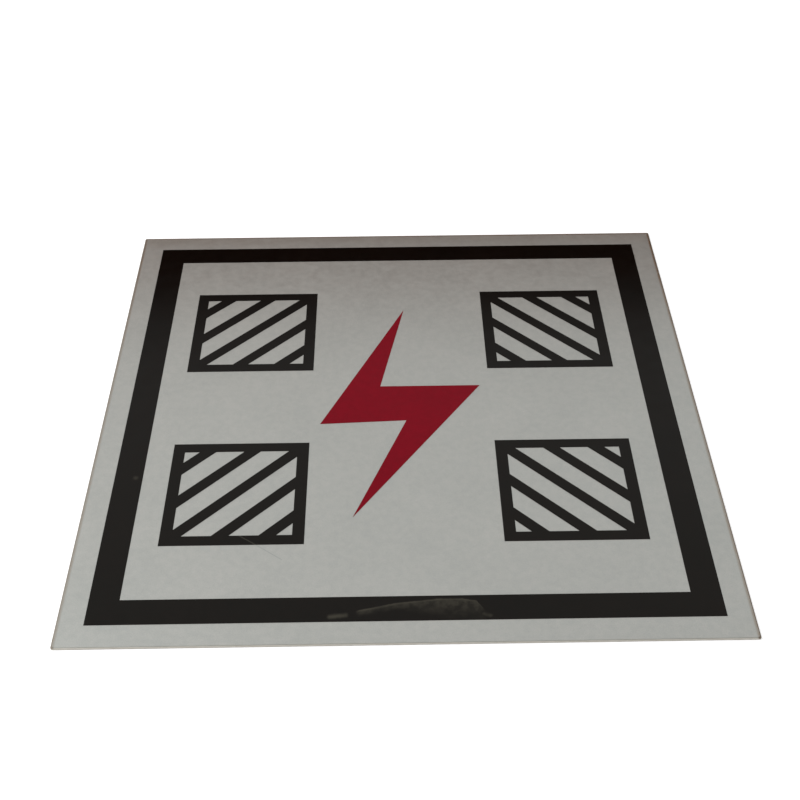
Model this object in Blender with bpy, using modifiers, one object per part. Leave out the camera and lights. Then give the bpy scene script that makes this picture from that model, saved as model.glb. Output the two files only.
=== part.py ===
"""A square high voltage warning sign, lying on its back with its face up.

An aluminium plate is faced with pale reflective sheeting. Black and red film, cut to shape, lies on the
sheeting: a border frame, a lightning bolt and four hatched marks.

Metres. +Z points out of the face, +Y to the top of the sign and +X to the right of its face.
The origin is the centre of the plate's back."""

import math

import bmesh
import bpy

# Plate: a square blank sheared from flat sheet
SIGN_SIDE = 0.5
PLATE_THICKNESS = 0.0012
PLATE_CORNER_RADIUS = 0.0015
PLATE_EDGE_BREAK = 0.00015

# Sheeting: trimmed a little short of the plate's edge
GLUE_LINE = 0.00005
SHEETING_THICKNESS = 0.0003
SHEETING_SETBACK = 0.0009
SHEETING_CORNER_RADIUS = 0.002

# Cut film: the same stock for every figure
CUT_FILM_THICKNESS = 0.0001

# Border frame: its place inside the plate's edge, and the width of its bars
BORDER_MARGIN = 0.02
BORDER_BAR = 0.0225

# Bolt: it fills a strip down the middle of the face, between the marks
CENTRE_STRIP_WIDTH = 0.152
BOLT_SIDE_CLEARANCE = 0.008
BOLT_END_CLEARANCE = 0.0783

# Bolt: its corners as shares of its half width and half height, clockwise from the left tip
BOLT_CORNER_SHARES = (
    (-1.0, -0.18),
    (0.06, 1.0),
    (-0.26, 0.18),
    (1.0, 0.18),
    (-0.58, -1.0),
    (0.06, -0.155),
)

# Marks: two rows of two squares, each crossed by slanting bars of the same stroke as its rim
MARK_BORDER_GAP = 0.021
MARK_ROW_GAP = 0.091
MARK_STROKE = 0.0095
MARK_BAR_PITCH = 0.0257

# Facets: pieces in each rounded corner and across each broken edge
CORNER_SEGMENTS = 6
EDGE_SEGMENTS = 2
SHARPEST_SMOOTH_ANGLE = math.radians(30)

# Places worked out from the sizes above
WINDOW_SIDE = SIGN_SIDE - 2 * (BORDER_MARGIN + BORDER_BAR)
MARK_SIDE = WINDOW_SIDE / 2 - MARK_BORDER_GAP - CENTRE_STRIP_WIDTH / 2
MARK_COLUMN_X = (CENTRE_STRIP_WIDTH + MARK_SIDE) / 2
MARK_ROW_Y = (MARK_ROW_GAP + MARK_SIDE) / 2
SHEETING_BOTTOM = PLATE_THICKNESS + GLUE_LINE
CUT_FILM_MIDDLE = SHEETING_BOTTOM + SHEETING_THICKNESS + GLUE_LINE + CUT_FILM_THICKNESS / 2


def clear_scene():
    for item in list(bpy.data.objects):
        bpy.data.objects.remove(item, do_unlink=True)


def new_collection(name):
    collection = bpy.data.collections.new(name)
    bpy.context.scene.collection.children.link(collection)
    return collection


def new_material(name, colour, roughness, metallic=0.0):
    material = bpy.data.materials.new(name)
    material.use_nodes = True
    shader = material.node_tree.nodes["Principled BSDF"]
    shader.inputs["Base Color"].default_value = (*colour, 1.0)
    shader.inputs["Roughness"].default_value = roughness
    shader.inputs["Metallic"].default_value = metallic
    return material


def square_sheet(name, side, thickness, corner_radius, material):
    """A flat square sheet with rounded corners, its lower face at its own zero height."""
    shape = bmesh.new()
    bmesh.ops.create_cube(shape, size=1.0)
    bmesh.ops.scale(shape, vec=(side, side, thickness), verts=shape.verts)
    bmesh.ops.translate(shape, vec=(0, 0, thickness / 2), verts=shape.verts)
    uprights = [edge for edge in shape.edges if edge.verts[0].co.xy == edge.verts[1].co.xy]
    bmesh.ops.bevel(
        shape,
        geom=uprights,
        offset=corner_radius,
        segments=CORNER_SEGMENTS,
        profile=0.5,
        affect="EDGES",
    )
    mesh = bpy.data.meshes.new(name)
    shape.to_mesh(mesh)
    shape.free()
    mesh.materials.append(material)
    mesh.shade_smooth()
    mesh.set_sharp_from_angle(angle=SHARPEST_SMOOTH_ANGLE)
    return bpy.data.objects.new(name, mesh)


def cut_film(name, outlines, material):
    """Film cut along closed outlines, the middle of its thickness at its own zero height.

    An outline that lies inside another one is an opening in the film."""
    curve = bpy.data.curves.new(name, "CURVE")
    curve.dimensions = "2D"
    curve.fill_mode = "BOTH"
    curve.extrude = CUT_FILM_THICKNESS / 2
    for outline in outlines:
        spline = curve.splines.new("POLY")
        spline.points.add(len(outline) - 1)
        for point, (x, y) in zip(spline.points, outline):
            point.co = (x, y, 0, 1)
        spline.use_cyclic_u = True
    curve.materials.append(material)
    return bpy.data.objects.new(name, curve)


def square_outline(side):
    half = side / 2
    return [(-half, -half), (half, -half), (half, half), (-half, half)]


def bolt_outline():
    half_width = CENTRE_STRIP_WIDTH / 2 - BOLT_SIDE_CLEARANCE
    half_height = WINDOW_SIDE / 2 - BOLT_END_CLEARANCE
    return [(half_width * x, half_height * y) for x, y in BOLT_CORNER_SHARES]


def hatch_opening_outlines(opening_side, lean):
    """The openings left between bars that cross a square opening at 45 degrees, one bar through its middle.

    A slanting line is named by x + y, which runs from zero at the middle to the opening's side at a corner.
    A lean of 1 slants the bars down to the right, and -1 down to the left."""
    half = opening_side / 2
    pitch = MARK_BAR_PITCH * math.sqrt(2)
    half_bar = MARK_STROKE * math.sqrt(2) / 2
    bars_each_side = int((opening_side - half_bar) / pitch)
    outlines = []
    for side in (1, -1):
        for index in range(bars_each_side + 1):
            near = index * pitch + half_bar
            far = (index + 1) * pitch - half_bar
            corners = [(half, near - half), (near - half, half)]
            if index < bars_each_side:
                corners += [(far - half, half), (half, far - half)]
            else:
                corners.append((half, half))
            outlines.append([(side * lean * x, side * y) for x, y in corners])
    return outlines


def hatched_mark(name, lean, material):
    opening_side = MARK_SIDE - 2 * MARK_STROKE
    outlines = [square_outline(MARK_SIDE), *hatch_opening_outlines(opening_side, lean)]
    return cut_film(name, outlines, material)


def build_plate():
    aluminium = new_material("mill_aluminium", (0.55, 0.53, 0.50), 0.42, metallic=1.0)
    plate = square_sheet("plate", SIGN_SIDE, PLATE_THICKNESS, PLATE_CORNER_RADIUS, aluminium)
    edge_break = plate.modifiers.new("edge_break", "BEVEL")
    edge_break.limit_method = "ANGLE"
    edge_break.angle_limit = math.radians(60)
    edge_break.width = PLATE_EDGE_BREAK
    edge_break.segments = EDGE_SEGMENTS
    return plate


def build_sheeting():
    grey_film = new_material("grey_reflective_film", (0.40, 0.40, 0.38), 0.38)
    side = SIGN_SIDE - 2 * SHEETING_SETBACK
    sheeting = square_sheet(
        "reflective_sheeting", side, SHEETING_THICKNESS, SHEETING_CORNER_RADIUS, grey_film
    )
    sheeting.location.z = SHEETING_BOTTOM
    return sheeting


def build_figures():
    """The border, the bolt and the marks, all cut from one thickness of film."""
    black_film = new_material("black_film", (0.012, 0.010, 0.009), 0.25)
    red_film = new_material("red_film", (0.18, 0.007, 0.015), 0.3)
    border_outlines = [square_outline(SIGN_SIDE - 2 * BORDER_MARGIN), square_outline(WINDOW_SIDE)]
    figures = [
        cut_film("border_frame", border_outlines, black_film),
        cut_film("lightning_bolt", [bolt_outline()], red_film),
    ]
    for row, y_sign in (("upper", 1), ("lower", -1)):
        for column, x_sign in (("left", -1), ("right", 1)):
            mark = hatched_mark(f"mark_{row}_{column}", x_sign, black_film)
            mark.location.x = x_sign * MARK_COLUMN_X
            mark.location.y = y_sign * MARK_ROW_Y
            figures.append(mark)
    for figure in figures:
        figure.location.z = CUT_FILM_MIDDLE
    return figures


def main():
    clear_scene()
    collection = new_collection("high_voltage_warning_sign")
    plate = build_plate()
    films = [build_sheeting(), *build_figures()]
    for film in films:
        film.parent = plate
    for item in (plate, *films):
        collection.objects.link(item)


main()
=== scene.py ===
"""The looks of a square high voltage warning sign that lies on a pale floor, face up.

Every place is in metres in the sign's own frame: its middle at zero, +Y to its top, +Z out of its face."""

import math

import bpy
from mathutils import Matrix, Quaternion, Vector


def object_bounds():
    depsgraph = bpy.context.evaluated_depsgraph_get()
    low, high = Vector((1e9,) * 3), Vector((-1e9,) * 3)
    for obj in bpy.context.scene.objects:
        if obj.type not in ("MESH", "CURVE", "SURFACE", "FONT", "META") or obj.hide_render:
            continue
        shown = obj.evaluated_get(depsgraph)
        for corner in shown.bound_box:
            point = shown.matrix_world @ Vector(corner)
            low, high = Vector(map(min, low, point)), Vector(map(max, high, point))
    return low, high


# Camera: a little left of the sign's middle line, looking down at its face
CAMERA_TARGET = Vector((-0.0009, 0.0072, 0.0))
CAMERA_DISTANCE = 1.0805
CAMERA_AZIMUTH = math.radians(0.605)
CAMERA_ELEVATION = math.radians(42.012)
CAMERA_ROLL = math.radians(-0.364)
CAMERA_LENS_MM = 56.97
CAMERA_SENSOR_MM = 36.0

# Studio: a white surround and one soft lamp high on the left
SURROUND_AMBIENT = 0.70
KEY_PLACE = Vector((-0.9, -0.18, 1.2))
KEY_SIZE = 0.8
KEY_WATTS = 9.3

# Floor: a little below the sign, open under it but for a narrow overlap, and lifted to white where it is seen
FLOOR_REACH = 6.0
FLOOR_OVERLAP = 0.003
FLOOR_GAP = 0.0002
FLOOR_COLOUR = (0.86, 0.86, 0.86)
FLOOR_LIFT = 0.34

# Graded card beyond the sign's top edge, which only reflections see: dark at its foot and pale at its top
CARD_DISTANCE = 0.30
CARD_HEIGHT = 0.19
CARD_WIDTH = 1.8
CARD_DARK_HEIGHT = 0.095
CARD_FOOT = (0.05, 0.03, 0.015)
CARD_TOP = (0.95, 0.95, 0.95)

# Colours, in linear light
FILM_GREY = (0.256, 0.220, 0.201)
GREY_GLOSS_TINT = (0.82, 0.98, 0.95)
FILM_BLACK = (0.0028, 0.0009, 0.0006)
BLACK_GLOSS_TINT = (0.92, 1.0, 0.90)
FILM_RED = (0.176, 0.0006, 0.0076)
MILL_ALUMINIUM = (0.60, 0.585, 0.56)
SHEARED_EDGE = (0.50, 0.48, 0.43)
# Stain on the plate's edge, also the grime and painted shade on its bare strip
EDGE_STAIN_AND_SHADE = (0.135, 0.100, 0.068)
# Dark tone of the sheeting's edge grime, also used as painted shade on its right and top edges
EDGE_GRIME_AND_SHADE = (0.120, 0.045, 0.010)
DRIED_DIRT = (0.054, 0.048, 0.036)
SCRATCH_DUST = (0.13, 0.12, 0.10)

# Grain of each material: how many features go to a metre
BEAD_SCALE = 1400.0
MOTTLE_SCALE = 190.0
SHEEN_SCALE = 95.0
CLOUD_SCALE = 17.0
PEEL_SCALE = 420.0
WAVE_SCALE = 22.0
ROLLING_SCALE = Vector((5.0, 330.0, 1.0))
ROLLING_OFFSET = Vector((0.3, 0.7, 0.4))
SCUFF_SCALE = 26.0
STAIN_SCALE = 156.0

# Noise: its middle, the range that most of it fills, the range where patches fade in, and its fine detail
NOISE_MIDDLE = (0.5, 0.5, 0.5)
NOISE_RANGE = (0.25, 0.75)
PATCH_RANGE = (0.35, 0.65)
FINE_DETAIL = 4.0

# Tone of each film: every grain's scale, the share by which it lightens and darkens, and its detail
GREY_TONE = ((CLOUD_SCALE, 0.04, 3.0), (MOTTLE_SCALE, 0.065, 2.0), (BEAD_SCALE, 0.12, 2.0))
BLACK_TONE = ((CLOUD_SCALE, 0.16, 3.0), (MOTTLE_SCALE, 0.12, 2.0))
RED_TONE = ((CLOUD_SCALE, 0.03, 3.0), (MOTTLE_SCALE, 0.05, 2.0))

# Roughness of each film: its mean, and the share by which it rises and falls
GREY_ROUGHNESS = (0.42, 0.08)
BLACK_ROUGHNESS = (0.33, 0.12)
RED_ROUGHNESS = (0.35, 0.1)

# Relief that only the materials carry: its strength and its depth
PEEL_RELIEF = (0.12, 0.0003)
WAVE_RELIEF = (0.25, 0.002)
ROLLING_RELIEF = (0.04, 0.0001)

# Back of the plate: tones of its rolling lines, its clouds, its roughness bare and scuffed, and its scuffs
ROLLING_TONES = (0.96, 1.03)
BACK_TONE = (CLOUD_SCALE / 2, 0.05)
BACK_ROUGHNESS = (0.36, 0.5)
SCUFF_RANGE = (0.52, 0.72)
SCUFF_STRENGTH = 0.25

# Edge of the plate, as heights above the back: its start, its cleaner cut and the bare strip above it
RIM_BOTTOM = 0.00005
RIM_TOP = 0.00020
SHEAR_LINE = 0.0007
SHEAR_BLEND = 0.0002
STRIP_HEIGHT = 0.0009

# Finish of the edge: its stain, the share of that on the cleaner cut, and how metallic and rough it is
STAIN_STRENGTHS = (0.2, 0.5)
CLEAN_CUT_STAIN_SHARE = 0.2
EDGE_METALLIC = 0.35
EDGE_ADDED_ROUGHNESS = 0.15

# Grime and painted shade along the left, right and top edges: places out from the middle where it starts and
# where it is full
GRIME_AND_SHADE_START = 0.2467
GRIME_AND_SHADE_FULL = 0.2486
# Share of it at the left edge: painted shade makes the right edge darker than the left
GRIME_AND_SHADE_LEFT_SHARE = 0.72
GRIME_AND_SHADE_SWING = 0.2

# Painted shade: a fainter and wider darkening along the top edge
TOP_SHADE_START = 0.228
TOP_SHADE_FULL = 0.246
TOP_SHADE_STRENGTH = 0.2

# Scratch that runs off the lower left mark: places along it, and how strongly its dust shows on each film
SCRATCH_PLACES = ((-0.1266, -0.1461), (-0.1095, -0.1581), (-0.0921, -0.1710))
SCRATCH_HALF_WIDTH = 0.0006
SCRATCH_RAGGEDNESS = 0.0004
SCRATCH_STRENGTH_ON_GREY = 0.8
SCRATCH_STRENGTH_ON_BLACK = 0.3

# Dirt on the black film: how ragged its edges are, and how strong its thin and thick places are
DIRT_RAGGEDNESS = 0.0012
DIRT_RANGE = (0.2, 0.7)
DIRT_STRENGTHS = (0.55, 1.0)

# Dried smear on the lower bar of the border: a ridge under its crisp upper edge, and a tail below that
SMEAR_LEFT = -0.0370
SMEAR_RIGHT = 0.0610
SMEAR_BOTTOM = -0.2270
SMEAR_RISE = 0.0170
SMEAR_FRONT = 0.0012
SMEAR_RIDGE = 0.0045
SMEAR_RIDGE_STRENGTH = 0.9
SMEAR_TAIL_LEFT = 0.0080
SMEAR_TAIL_RIGHT = 0.0220
SMEAR_TAIL_STRENGTHS = (0.25, 0.55)

# Smear's upper edge: shares of the smear's width, and of its rise above its bottom
SMEAR_EDGE_SHARES = (
    (0.00, 0.40),
    (0.30, 0.80),
    (0.61, 1.00),
    (0.80, 1.00),
    (0.90, 0.88),
    (1.00, 0.00),
)

# Shares of the smear's width where its tail grows longer, and where its left and right ends fade
SMEAR_TAIL_SHARES = (0.25, 0.75)
SMEAR_LEFT_END_SHARES = (0.0, 0.04)
SMEAR_RIGHT_END_SHARES = (0.90, 0.97)

# Short strokes of the same dirt, from end to end: one past the smear's right end and one before its left
LUMP_ENDS = ((0.0560, -0.2248), (0.0605, -0.2262))
LUMP_HALF_WIDTH = 0.0026
LUMP_STRENGTH = 0.45
DAB_ENDS = ((-0.0545, -0.2256), (-0.0435, -0.2242))
DAB_HALF_WIDTH = 0.0032
DAB_STRENGTH = 0.7

# Faint spot on the left bar of the border
SPOT_PLACE = (-0.2132, -0.0834)
SPOT_RADIUS = 0.0035
SPOT_STRENGTH = 0.4


def aim(item, target):
    item.rotation_mode = "QUATERNION"
    item.rotation_quaternion = (target - item.location).to_track_quat("-Z", "Y")


def link(item):
    bpy.context.scene.collection.objects.link(item)
    return item


def seen_rays(tree):
    """One for what is seen, directly, reflected or through glass, and zero for what only gives light."""
    path = tree.nodes.new("ShaderNodeLightPath")
    seen = path.outputs["Is Camera Ray"]
    for name in ("Is Glossy Ray", "Is Transmission Ray"):
        either = tree.nodes.new("ShaderNodeMath")
        either.operation = "MAXIMUM"
        tree.links.new(seen, either.inputs[0])
        tree.links.new(path.outputs[name], either.inputs[1])
        seen = either.outputs[0]
    return seen


class Surface:
    """A material with a Principled shader, and short calls for the nodes that feed it."""

    def __init__(self, name, **settings):
        self.material = bpy.data.materials.new(name)
        self.material.use_nodes = True
        self.tree = self.material.node_tree
        self.shader = self.tree.nodes["Principled BSDF"]
        for socket, value in settings.items():
            self.shader.inputs[socket.replace("_", " ")].default_value = value
        self.place = self.node("ShaderNodeTexCoord").outputs["Object"]

    def node(self, kind, **settings):
        made = self.tree.nodes.new(kind)
        for name, value in settings.items():
            setattr(made, name, value)
        return made

    def feed(self, socket, value):
        """Links a node's output to a socket, or sets the socket to a plain value."""
        if isinstance(value, bpy.types.NodeSocket):
            self.tree.links.new(value, socket)
        else:
            socket.default_value = value

    def set(self, socket, value):
        self.feed(self.shader.inputs[socket], value)

    def math(self, operation, *values):
        made = self.node("ShaderNodeMath", operation=operation)
        for socket, value in zip(made.inputs, values):
            self.feed(socket, value)
        return made.outputs[0]

    def vector(self, operation, *values):
        made = self.node("ShaderNodeVectorMath", operation=operation)
        sockets = [socket for socket in made.inputs if socket.enabled]
        for socket, value in zip(sockets, values):
            self.feed(socket, value)
        return next(output for output in made.outputs if output.enabled)

    def axes(self, place=None):
        """The coordinates of a place, by the names X, Y and Z."""
        made = self.node("ShaderNodeSeparateXYZ")
        self.feed(made.inputs[0], place or self.place)
        return made.outputs

    def noise(self, scale, detail=2.0, place=None, output="Fac"):
        made = self.node("ShaderNodeTexNoise")
        self.feed(made.inputs["Vector"], place or self.place)
        made.inputs["Scale"].default_value = scale
        made.inputs["Detail"].default_value = detail
        return made.outputs[output]

    def spread(self, value, low, high, to_low=0.0, to_high=1.0):
        """A value moved smoothly from one range to another and held at its ends."""
        made = self.node("ShaderNodeMapRange", interpolation_type="SMOOTHSTEP")
        for socket, number in zip(made.inputs, (value, low, high, to_low, to_high)):
            self.feed(socket, number)
        return made.outputs["Result"]

    def vary(self, scale, swing, detail=2.0):
        """A number round one that rises and falls by the swing from place to place."""
        return self.spread(self.noise(scale, detail), *NOISE_RANGE, 1.0 - swing, 1.0 + swing)

    def mix(self, share, first, second):
        made = self.node("ShaderNodeMix", data_type="RGBA")
        self.feed(made.inputs["Factor"], share)
        for socket, colour in zip((made.inputs[6], made.inputs[7]), (first, second)):
            self.feed(socket, colour if isinstance(colour, bpy.types.NodeSocket) else (*colour, 1.0))
        return made.outputs[2]

    def shade(self, colour, grains):
        """A colour made lighter and darker from place to place by each grain in turn."""
        tone = self.vary(*grains[0])
        for grain in grains[1:]:
            tone = self.math("MULTIPLY", tone, self.vary(*grain))
        return self.vector("SCALE", colour, tone)

    def roughen(self, mean, swing):
        self.set("Roughness", self.math("MULTIPLY", self.vary(SHEEN_SCALE, swing, FINE_DETAIL), mean))

    def bump(self, height, strength, depth):
        made = self.node("ShaderNodeBump")
        made.inputs["Strength"].default_value = strength
        made.inputs["Distance"].default_value = depth
        self.feed(made.inputs["Height"], height)
        self.set("Normal", made.outputs["Normal"])

    def on_face(self, raggedness):
        """Places on the sign's face, at zero height and shifted a little so that edges come out ragged."""
        shift = self.vector("SUBTRACT", self.noise(PEEL_SCALE, output="Color"), NOISE_MIDDLE)
        moved = self.vector("ADD", self.place, self.vector("SCALE", shift, raggedness))
        return self.vector("MULTIPLY", moved, (1.0, 1.0, 0.0))

    def stroke(self, place, start, end, half_width):
        """One along a straight stroke on the face, falling to zero at its half width."""
        line = Vector((*end, 0.0)) - Vector((*start, 0.0))
        from_start = self.vector("SUBTRACT", place, (*start, 0.0))
        share = self.vector("DOT_PRODUCT", from_start, line / line.length_squared)
        held = self.math("MINIMUM", self.math("MAXIMUM", share, 0.0), 1.0)
        gap = self.vector("DISTANCE", from_start, self.vector("SCALE", line, held))
        return self.spread(gap, 0.0, half_width, 1.0, 0.0)

    def scratch(self):
        """One along the scratch and zero beside it."""
        place = self.on_face(SCRATCH_RAGGEDNESS)
        marks = [
            self.stroke(place, start, end, SCRATCH_HALF_WIDTH)
            for start, end in zip(SCRATCH_PLACES, SCRATCH_PLACES[1:])
        ]
        return self.math("MAXIMUM", *marks)

    def grime_and_shade(self):
        """One along the right edge, less along the top and the left, and zero elsewhere: edge grime, with
        painted shade that makes the right edge darker than the left.
        """
        axes = self.axes()
        reach = self.math("MAXIMUM", self.math("ABSOLUTE", axes["X"]), axes["Y"])
        weight = self.spread(axes["X"], -GRIME_AND_SHADE_FULL, GRIME_AND_SHADE_FULL, GRIME_AND_SHADE_LEFT_SHARE, 1.0)
        return self.math("MULTIPLY", self.spread(reach, GRIME_AND_SHADE_START, GRIME_AND_SHADE_FULL), weight)

    def smear_edge(self, share):
        """How far up its rise the smear's upper edge is, at a share of the smear's width."""
        edge = self.node("ShaderNodeFloatCurve")
        points = edge.mapping.curves[0].points
        points[0].location, points[-1].location = SMEAR_EDGE_SHARES[0], SMEAR_EDGE_SHARES[-1]
        for point in SMEAR_EDGE_SHARES[1:-1]:
            points.new(*point)
        for point in points:
            point.handle_type = "VECTOR"
        edge.mapping.update()
        self.feed(edge.inputs["Value"], share)
        return edge.outputs["Value"]

    def smear(self, place):
        """Strong just below the smear's upper edge, fading downwards, and faster at its left end."""
        axes = self.axes(place)
        width = SMEAR_RIGHT - SMEAR_LEFT
        share = self.math("MULTIPLY_ADD", axes["X"], 1 / width, -SMEAR_LEFT / width)
        top = self.math("MULTIPLY_ADD", self.smear_edge(share), SMEAR_RISE, SMEAR_BOTTOM)
        depth = self.math("SUBTRACT", top, axes["Y"])
        tail = self.spread(share, *SMEAR_TAIL_SHARES, SMEAR_TAIL_LEFT, SMEAR_TAIL_RIGHT)
        patches = self.spread(self.noise(MOTTLE_SCALE, FINE_DETAIL), *PATCH_RANGE, *SMEAR_TAIL_STRENGTHS)
        body = self.math("MULTIPLY", self.spread(depth, 0.0, tail, 1.0, 0.0), patches)
        ridge = self.spread(depth, 0.0, SMEAR_RIDGE, SMEAR_RIDGE_STRENGTH, 0.0)
        body = self.math("MAXIMUM", body, ridge)
        body = self.math("MULTIPLY", body, self.spread(depth, 0.0, SMEAR_FRONT))
        left_end = self.spread(share, *SMEAR_LEFT_END_SHARES)
        right_end = self.spread(share, *SMEAR_RIGHT_END_SHARES, 1.0, 0.0)
        return self.math("MULTIPLY", body, self.math("MULTIPLY", left_end, right_end))


def grey_film():
    """Reflective sheeting: fine glass beads under a clear face, with grime and painted shade along its edges
    and a scratch.
    """
    film = Surface("grey_reflective_film", IOR=2.0, Specular_IOR_Level=1.0)
    film.set("Specular Tint", (*GREY_GLOSS_TINT, 1.0))
    # Edge grime, with painted shade that makes the right edge darker than the left
    grime_and_shade = film.math("MULTIPLY", film.grime_and_shade(), film.vary(MOTTLE_SCALE, GRIME_AND_SHADE_SWING, FINE_DETAIL))
    # Painted shade: a fainter, wider darkening along the top edge
    top_shade = film.spread(film.axes()["Y"], TOP_SHADE_START, TOP_SHADE_FULL, 0.0, TOP_SHADE_STRENGTH)
    grime_and_shade = film.math("MAXIMUM", grime_and_shade, top_shade)
    colour = film.mix(grime_and_shade, film.shade(FILM_GREY, GREY_TONE), EDGE_GRIME_AND_SHADE)
    scratch = film.math("MULTIPLY", film.scratch(), SCRATCH_STRENGTH_ON_GREY)
    film.set("Base Color", film.mix(scratch, colour, SCRATCH_DUST))
    film.roughen(*GREY_ROUGHNESS)
    film.bump(film.noise(PEEL_SCALE, detail=3.0), *PEEL_RELIEF)
    return film.material


def black_film():
    """Black cut film: smooth, a little wavy, with dried dirt, a spot and a scratch."""
    film = Surface("black_film", Specular_IOR_Level=0.13)
    film.set("Specular Tint", (*BLACK_GLOSS_TINT, 1.0))
    face = film.on_face(DIRT_RAGGEDNESS)
    dab = film.math("MULTIPLY", film.stroke(face, *DAB_ENDS, DAB_HALF_WIDTH), DAB_STRENGTH)
    lump = film.math("MULTIPLY", film.stroke(face, *LUMP_ENDS, LUMP_HALF_WIDTH), LUMP_STRENGTH)
    dirt = film.math("MAXIMUM", film.smear(face), film.math("MAXIMUM", dab, lump))
    strength = film.spread(film.noise(MOTTLE_SCALE, FINE_DETAIL), *DIRT_RANGE, *DIRT_STRENGTHS)
    dirt = film.math("MULTIPLY", dirt, strength)
    from_spot = film.vector("DISTANCE", face, (*SPOT_PLACE, 0.0))
    spot = film.spread(from_spot, 0.0, SPOT_RADIUS, SPOT_STRENGTH, 0.0)
    dirt = film.math("MAXIMUM", dirt, spot)
    colour = film.mix(dirt, film.shade(FILM_BLACK, BLACK_TONE), DRIED_DIRT)
    scratch = film.math("MULTIPLY", film.scratch(), SCRATCH_STRENGTH_ON_BLACK)
    film.set("Base Color", film.mix(scratch, colour, SCRATCH_DUST))
    film.roughen(*BLACK_ROUGHNESS)
    film.bump(film.noise(WAVE_SCALE, detail=1.0), *WAVE_RELIEF)
    return film.material


def red_film():
    """Red cut film: smooth and a little wavy."""
    film = Surface("red_film", Specular_IOR_Level=0.06)
    film.set("Base Color", film.shade(FILM_RED, RED_TONE))
    film.roughen(*RED_ROUGHNESS)
    film.bump(film.noise(WAVE_SCALE, detail=1.0), *WAVE_RELIEF)
    return film.material


def aluminium():
    """Mill finish with rolling lines on the back, and a stained, sheared edge whose bare strip has grime and
    painted shade, darker on the right.
    """
    metal = Surface("mill_aluminium")
    height = metal.axes()["Z"]
    edge = metal.spread(height, RIM_BOTTOM, RIM_TOP)
    clean_cut = metal.spread(height, SHEAR_LINE, SHEAR_LINE + SHEAR_BLEND)
    strip = metal.spread(height, STRIP_HEIGHT, STRIP_HEIGHT + SHEAR_BLEND)
    rolled = metal.vector("MULTIPLY_ADD", metal.place, ROLLING_SCALE, ROLLING_OFFSET)
    lines = metal.noise(1.0, detail=6.0, place=rolled)
    scuffs = metal.spread(metal.noise(SCUFF_SCALE, detail=6.0), *SCUFF_RANGE)
    line_tone = metal.spread(lines, *NOISE_RANGE, *ROLLING_TONES)
    tone = metal.math("MULTIPLY", line_tone, metal.vary(*BACK_TONE))
    bare = metal.vector("SCALE", MILL_ALUMINIUM, tone)
    bare = metal.mix(metal.math("MULTIPLY", scuffs, SCUFF_STRENGTH), bare, SHEARED_EDGE)
    stain_and_shade = metal.spread(metal.noise(STAIN_SCALE, FINE_DETAIL), *PATCH_RANGE, *STAIN_STRENGTHS)
    stain_and_shade = metal.math("MULTIPLY", stain_and_shade, metal.spread(clean_cut, 0.0, 1.0, 1.0, CLEAN_CUT_STAIN_SHARE))
    # The bare strip takes the edge grime, with painted shade that makes its right side darker than its left
    stain_and_shade = metal.math("MAXIMUM", stain_and_shade, metal.math("MULTIPLY", strip, metal.grime_and_shade()))
    cut = metal.mix(stain_and_shade, SHEARED_EDGE, EDGE_STAIN_AND_SHADE)
    metal.set("Base Color", metal.mix(edge, bare, cut))
    metal.set("Metallic", metal.spread(edge, 0.0, 1.0, 1.0, EDGE_METALLIC))
    rough = metal.spread(scuffs, 0.0, 1.0, *BACK_ROUGHNESS)
    rough = metal.math("ADD", rough, metal.math("MULTIPLY", edge, EDGE_ADDED_ROUGHNESS))
    metal.set("Roughness", rough)
    metal.bump(lines, *ROLLING_RELIEF)
    return metal.material


def dress(frame):
    black = black_film()
    finishes = {"plate": aluminium(), "reflective_sheeting": grey_film(), "lightning_bolt": red_film()}
    for name, node in frame["nodes"].items():
        node.data.materials.clear()
        node.data.materials.append(finishes.get(name, black))


def build_camera():
    camera = link(bpy.data.objects.new("camera", bpy.data.cameras.new("camera")))
    camera.data.sensor_width = CAMERA_SENSOR_MM
    camera.data.lens = CAMERA_LENS_MM
    level = CAMERA_DISTANCE * math.cos(CAMERA_ELEVATION)
    offset = Vector((-level * math.sin(CAMERA_AZIMUTH), -level * math.cos(CAMERA_AZIMUTH), 0.0))
    offset.z = CAMERA_DISTANCE * math.sin(CAMERA_ELEVATION)
    camera.location = CAMERA_TARGET + offset
    aim(camera, CAMERA_TARGET)
    camera.rotation_quaternion @= Quaternion((0.0, 0.0, 1.0), CAMERA_ROLL)
    bpy.context.scene.camera = camera


def build_key_lamp():
    data = bpy.data.lights.new("key", "AREA")
    data.shape = "DISK"
    data.size = KEY_SIZE
    data.energy = KEY_WATTS
    lamp = link(bpy.data.objects.new("key", data))
    lamp.location = KEY_PLACE
    aim(lamp, Vector((0.0, 0.0, 0.0)))


def build_surround():
    """A white surround that is seen at full strength and lights the scene at its ambient strength."""
    world = bpy.data.worlds.new("surround")
    bpy.context.scene.world = world
    world.use_nodes = True
    tree = world.node_tree
    background = tree.nodes["Background"]
    background.inputs["Color"].default_value = (1.0, 1.0, 1.0, 1.0)
    strength = tree.nodes.new("ShaderNodeMapRange")
    tree.links.new(seen_rays(tree), strength.inputs["Value"])
    strength.inputs["To Min"].default_value = SURROUND_AMBIENT
    strength.inputs["To Max"].default_value = 1.0
    tree.links.new(strength.outputs["Result"], background.inputs["Strength"])


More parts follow.
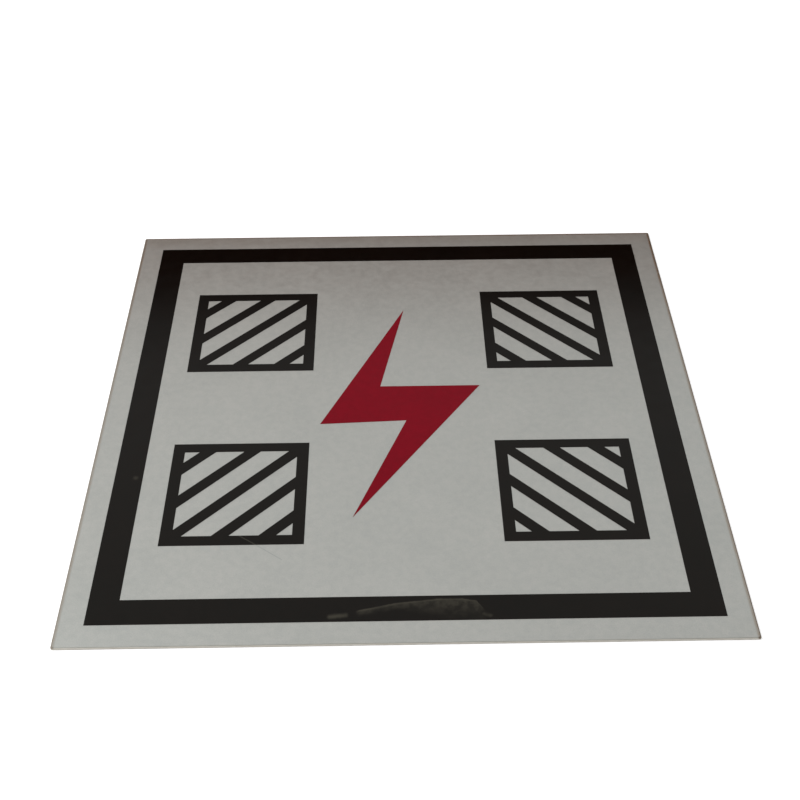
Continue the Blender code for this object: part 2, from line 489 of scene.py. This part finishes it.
def build_floor(cad_box):
    """A wide floor, open under the sign, so that the sign's back can be seen and lit from below."""
    opening = cad_box[1][0] - FLOOR_OVERLAP
    corner_signs = ((-1, -1), (1, -1), (1, 1), (-1, 1))
    corners = [(half * x, half * y, -FLOOR_GAP) for half in (FLOOR_REACH, opening) for x, y in corner_signs]
    sides = len(corner_signs)
    strips = [(i, (i + 1) % sides, (i + 1) % sides + sides, i + sides) for i in range(sides)]
    mesh = bpy.data.meshes.new("floor")
    mesh.from_pydata(corners, [], strips)
    floor = link(bpy.data.objects.new("floor", mesh))
    finish = Surface("floor", Roughness=0.9, Specular_IOR_Level=0.1)
    finish.set("Base Color", (*FLOOR_COLOUR, 1.0))
    finish.set("Emission Color", (1.0, 1.0, 1.0, 1.0))
    finish.set("Emission Strength", finish.math("MULTIPLY", seen_rays(finish.tree), FLOOR_LIFT))
    floor.data.materials.append(finish.material)


def build_card():
    """An upright card. In its own coordinates it is one unit high and its middle is at zero."""
    bpy.ops.mesh.primitive_plane_add(size=1.0)
    card = bpy.context.object
    card.name = "graded_card"
    card.scale = (CARD_WIDTH, CARD_HEIGHT, 1.0)
    card.rotation_euler = (math.radians(90), 0.0, 0.0)
    card.location = (0.0, CARD_DISTANCE, CARD_HEIGHT / 2)
    finish = Surface("graded_card", Roughness=1.0, Specular_IOR_Level=0.0, Emission_Strength=1.0)
    share = finish.spread(finish.axes()["Y"], CARD_DARK_HEIGHT / CARD_HEIGHT - 0.5, 0.5)
    finish.set("Base Color", (0.0, 0.0, 0.0, 1.0))
    finish.set("Emission Color", finish.mix(share, CARD_FOOT, CARD_TOP))
    card.data.materials.append(finish.material)
    for kind in ("camera", "diffuse", "transmission", "volume_scatter", "shadow"):
        setattr(card, f"visible_{kind}", False)


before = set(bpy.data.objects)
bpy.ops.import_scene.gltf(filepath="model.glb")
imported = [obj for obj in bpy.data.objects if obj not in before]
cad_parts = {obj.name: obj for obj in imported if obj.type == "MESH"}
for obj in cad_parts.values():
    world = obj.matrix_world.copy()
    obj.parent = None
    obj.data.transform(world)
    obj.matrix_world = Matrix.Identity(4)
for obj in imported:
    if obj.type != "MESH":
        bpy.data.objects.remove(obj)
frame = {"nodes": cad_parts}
cad_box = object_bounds()
bpy.context.scene.view_settings.view_transform = "Standard"
build_camera()
dress(frame)
build_surround()
build_floor(cad_box)
build_card()
build_key_lamp()
